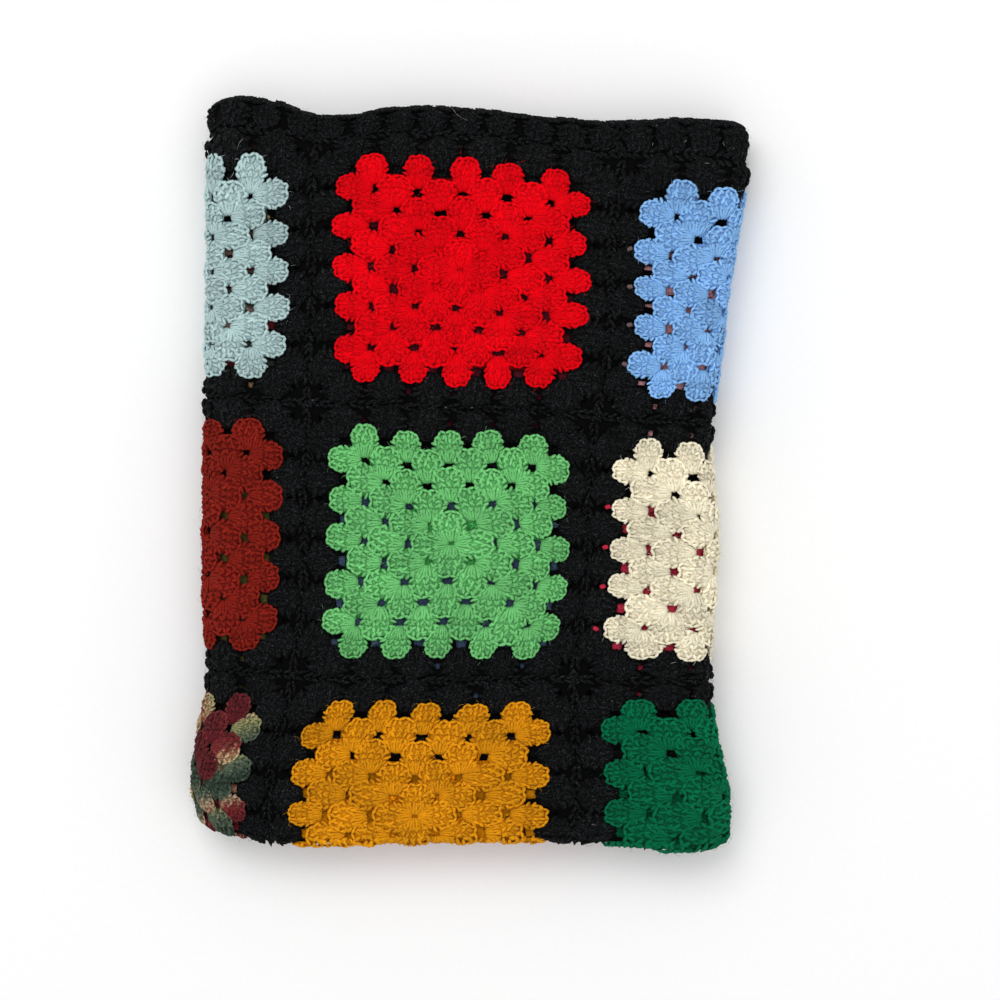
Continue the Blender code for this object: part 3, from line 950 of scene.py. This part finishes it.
def opened(u, v):
    """The web's points, with each gap's corners moved so that it takes its share of its cell."""
    p, q = lattice(u, COLUMNS)[1], lattice(v, ROWS)[1]
    near_p, near_q = np.round(p), np.round(q)
    upright = np.abs(near_p) > np.abs(near_q)
    number = np.maximum(np.abs(near_p), np.abs(near_q)).astype(int)
    share = np.array([GAP_SHARES.get(k, (1, 1)) for k in range(number.max() + 1)])[number]
    outward = np.where(upright, (p - near_p) * near_p, (q - near_q) * near_q) > 0
    along, across = share[..., 0] * np.where(outward, GAP_TAPER, 1.0), share[..., 1]
    share_p, share_q = np.where(upright, across, along), np.where(upright, along, across)
    corner = at_gap(p, q) & (np.abs(p - near_p) < 0.26) & (np.abs(q - near_q) < 0.26)
    u = u + np.where(corner, (share_p - 1) * (p - near_p) * ROUND, 0)
    v = v + np.where(corner, (share_q - 1) * (q - near_q) * ROUND, 0)
    return u, v


def web(material):
    """The thin web of the cloth between its clusters, open at the gaps, folded from its flat size."""
    across, along = web_lines(COLUMNS), web_lines(ROWS)
    turns = [np.linspace(ALONG[i, 0], ALONG[i + 1, 0], 5) for i in (1, 3)]
    for turn in turns:
        along = along[(along < turn[0] - 0.0012) | (along > turn[-1] + 0.0012)]
    along = np.sort(np.concatenate([along, *turns]))
    u, v = opened(*np.meshgrid(across, along))
    index = np.arange(u.size).reshape(u.shape)
    cells = np.stack([index[:-1, :-1], index[1:, :-1], index[1:, 1:], index[:-1, 1:]], axis=-1).reshape(-1, 4)
    middle_u, middle_v = np.meshgrid((across[:-1] + across[1:]) / 2, (along[:-1] + along[1:]) / 2)
    p, q = lattice(middle_u, COLUMNS)[1], lattice(middle_v, ROWS)[1]
    centred = (np.abs(p - np.round(p)) < 0.05) & (np.abs(q - np.round(q)) < 0.05)
    cells = cells[~(centred & at_gap(p, q)).ravel()]
    # Colours belong to points: a point takes the painted shade of its square's crevices, or outside the
    # coloured rounds a darker painted shade of black, so the web is painted shade between the clusters.
    (c, p), (r, q) = lattice(u, COLUMNS), lattice(v, ROWS)
    coloured = np.maximum(np.abs(p), np.abs(q)) < ROUNDS - 0.6
    palette = np.array([[linear(YARNS[name][1]) for name in row] for row in PATCHES])
    tint = np.where(coloured[..., None], palette[r, c], BLACK_WEB_SHADE * linear(YARNS["black"][1]))
    points = on_packet(u, v, np.full_like(u, WEB_DEPTH)).reshape(-1, 3)
    arrays = {
        "points": points,
        "corners": cells.ravel(),
        "sizes": np.full(len(cells), 4),
        "map": np.stack([u.ravel(), v.ravel()], axis=1)[cells.ravel()],
        "relief": np.full(len(points), 0.7),
        "shade": np.zeros(len(points)),
        "tint": tint.reshape(-1, 3),
    }
    return mesh_piece("cloth_web", arrays, material)


def variegated(arrays):
    """The colour of the variegated yarn at each point: it changes from post to post along the round."""
    steps = len(VARIEGATION)
    s, t = arrays["across"], arrays["outward"]
    place = (arrays["dye"] + 1.3 * s + 0.5 * (t - 0.9) + 0.35 * np.sin(9 * s + 15 * t)) % steps
    palette = linear(VARIEGATION)
    first = np.floor(place).astype(int) % steps
    blend = np.clip((place - first) * 2 - 0.5, 0, 1)[:, None]
    return palette[first] * (1 - blend) + palette[(first + 1) % steps] * blend


def build_yarn():
    """Every piece of the yarn, one for each colour of yarn and closeness."""
    table = spots()
    mid_u = table["u"] + HALF_CLUSTER * table["du"] * table["long"]
    mid_v = table["v"] + HALF_CLUSTER * table["dv"] * table["long"]
    seen = where_seen(mid_u, mid_v)
    # The far fold has the cloth's back outside, so the clusters from the near fold to there stand on it.
    on_back = (mid_v > ALONG[2, 0] + SEEN_PAST) & (mid_v < ALONG[4, 0] + FACE_FROM)
    table["face"] = np.where(on_back, -1.0, 1.0)
    table["high"] *= np.where(seen == "top", 1.0, BENEATH_HIGH)
    # Seams and edges are stitches where they show closely and a plain rope where they don't.
    in_detail = (seen == "top") | (seen == "end")
    templates = {
        **{name: [cluster(*build) for _ in range(count)] for name, (count, *build) in CLUSTERS.items()},
        "join": [join_stitch(4, 5) for _ in range(6)],
        "edge": [edge_stitch(4, 5) for _ in range(3)],
        "rope": [rope_grain()],
    }
    kind = table["kind"]
    close = np.where((seen == "top") & (table["colour"] != "black"), "full", "plain")
    body = np.where(in_detail, close, seen)
    stitch = np.where(in_detail != (kind == "rope"), kind, "none")
    level = np.where(kind == "cluster", body, stitch)
    variant = RANDOM.integers(0, 60, len(table))
    pieces = {}
    for colour in YARNS:
        parts = []
        for name, made in templates.items():
            for k, template in enumerate(made):
                here = (level == name) & (variant % len(made) == k)
                chosen = table[here & (table["colour"] == colour)]
                if len(chosen):
                    parts.append(laid(template, chosen))
        arrays = joined(parts)
        if colour == "variegated":
            arrays["tint"] = variegated(arrays)
        # deep is the yarn's painted shade for its crevices.
        light, deep = YARNS[colour]
        mottle = MOTTLE.get(colour, PLAIN_MOTTLE)
        material = yarn_material(colour, light, deep, colour == "variegated", mottle)
        pieces[colour] = mesh_piece("yarn_" + colour, arrays, material)
    return pieces, table, seen


def build_fuzz(table, seen):
    """The loose fibres of the clusters and the edge that show, one piece for each yarn."""
    tufts = [tuft(TUFT_FIBRES) for _ in range(12)]
    outside = ((seen == "top") | (seen == "end")) & (table["kind"] == "cluster")
    outside |= (seen == "top") & (table["kind"] == "edge")
    table = table.copy()
    for name, share in EDGE_TUFT.items():
        table[name] *= np.where(table["kind"] == "edge", share, 1.0)
    variant = RANDOM.integers(0, len(tufts), len(table))
    pieces = []
    for colour, shown in FUZZ.items():
        shaggy = outside & (table["colour"] == colour)
        here, which = table[shaggy], variant[shaggy]
        used = [k for k in range(len(tufts)) if (which == k).any()]
        arrays = joined([laid(tufts[k], here[which == k]) for k in used])
        if colour == "variegated":
            arrays["tint"] = variegated(arrays)
        # The fibres' colour is painted highlight, in the crevices too.
        material = yarn_material("fuzz_" + colour, shown, shown, colour == "variegated")
        pieces.append(mesh_piece("fuzz_" + colour, arrays, material))
    return pieces


def lone_spot(u, v):
    """A table with one spot on the cloth, at its own size."""
    spot = np.zeros(1, dtype=SPOT)
    spot["u"], spot["v"], spot["dv"] = u, v, 1.0
    spot["wide"] = spot["long"] = spot["high"] = spot["face"] = 1.0
    return spot


def build_lint():
    """The few pale hairs and specks that lie on the black yarn."""
    parts = []
    for u, v, turn, length in LINT:
        f = np.linspace(0, 1, 7)
        bow = np.sin(np.pi * f)
        across, along = turned(length * f, 0.12 * length * bow, turn)
        made = Template()
        made.add_strand(np.stack([across, along, 0.0026 + 0.0004 * bow], axis=1), 7e-5, 3)
        parts.append(laid(made.arrays(), lone_spot(u, v)))
    return mesh_piece("lint", joined(parts), yarn_material("lint", (176, 172, 164), (150, 146, 138)))


def build_loops():
    """The loops of the yarn beneath that are pulled up through the black round."""
    parts = []
    for row, colour, places in LOOPS:
        for p, q in places:
            made = Template()
            bend = jitter(0.0003)
            ends = (-0.0020, 0.0003, 0.0004), (0.0020, 0.0, 0.0004)
            path = [ends[0], (-0.0008, bend, 0.0014), (0.0008, -bend, 0.0015), ends[1]]
            made.add_strand(path, 0.0014, 6)
            u = BORDER + (LOOP_COLUMN + 0.5) * SQUARE + p * ROUND
            v = BORDER + (row + 0.5) * SQUARE + q * ROUND
            part = laid(made.arrays(), lone_spot(u, v))
            part["tint"] = np.tile(linear(colour), (len(part["points"]), 1))
            parts.append(part)
    material = yarn_material("loops", (190, 90, 100), (90, 40, 50), True)
    return mesh_piece("yarn_loops", joined(parts), material)


def floor_material():
    nodes = Nodes("floor")
    place = nodes.add("ShaderNodeTexCoord").outputs["Object"]
    grain = nodes.noise(place, 400.0, 2.0)
    colour = nodes.mix(grain, (0.90, 0.90, 0.90, 1), (0.93, 0.93, 0.93, 1))
    nodes.feed(nodes.shader, {"Base Color": colour, "Roughness": 0.9, "Specular IOR Level": 0.1})
    return nodes.material


def stage():
    """A plain pale floor, soft light from above and a camera that looks straight down."""
    mesh = bpy.data.meshes.new("floor")
    half = FLOOR_SIZE / 2
    corners = [(-half, -half, 0), (half, -half, 0), (half, half, 0), (-half, half, 0)]
    mesh.from_pydata(corners, [], [(0, 1, 2, 3)])
    mesh.materials.append(floor_material())
    floor = in_scene("floor", mesh)
    world = bpy.data.worlds.new("studio")
    world.use_nodes = True
    world.node_tree.nodes["Background"].inputs[0].default_value = (1, 1, 1, 1)
    world.node_tree.nodes["Background"].inputs[1].default_value = SKY
    bpy.context.scene.world = world
    for name, place, width, power in LAMPS:
        data = bpy.data.lights.new(name, "AREA")
        data.size = width
        data.energy = power
        lamp = in_scene(name, data)
        lamp.location = place
        tilt = math.atan2(math.hypot(place[0], place[1]), place[2])
        heading = math.atan2(-place[1], -place[0]) - math.pi / 2
        lamp.rotation_euler = (tilt, 0, heading)
    data = bpy.data.cameras.new("camera")
    data.sensor_width = SENSOR
    data.lens = SENSOR * CAMERA_HEIGHT / VIEW_WIDTH
    camera = in_scene("camera", data)
    camera.location = (*VIEW_CENTRE, CAD_HIGH[2] + CAMERA_HEIGHT)
    bpy.context.scene.camera = camera
    bpy.context.scene.view_settings.view_transform = "Standard"


stage()
pieces, placed_clusters, how_seen = build_yarn()
fuzz = [*build_fuzz(placed_clusters, how_seen), build_lint(), build_loops()]
# The web's tints are painted shade, darkened further in its crevices by this material.
web_material = yarn_material("web", (90, 90, 90), (40, 40, 40), True, WEB_MOTTLE)
cloth = web(web_material)
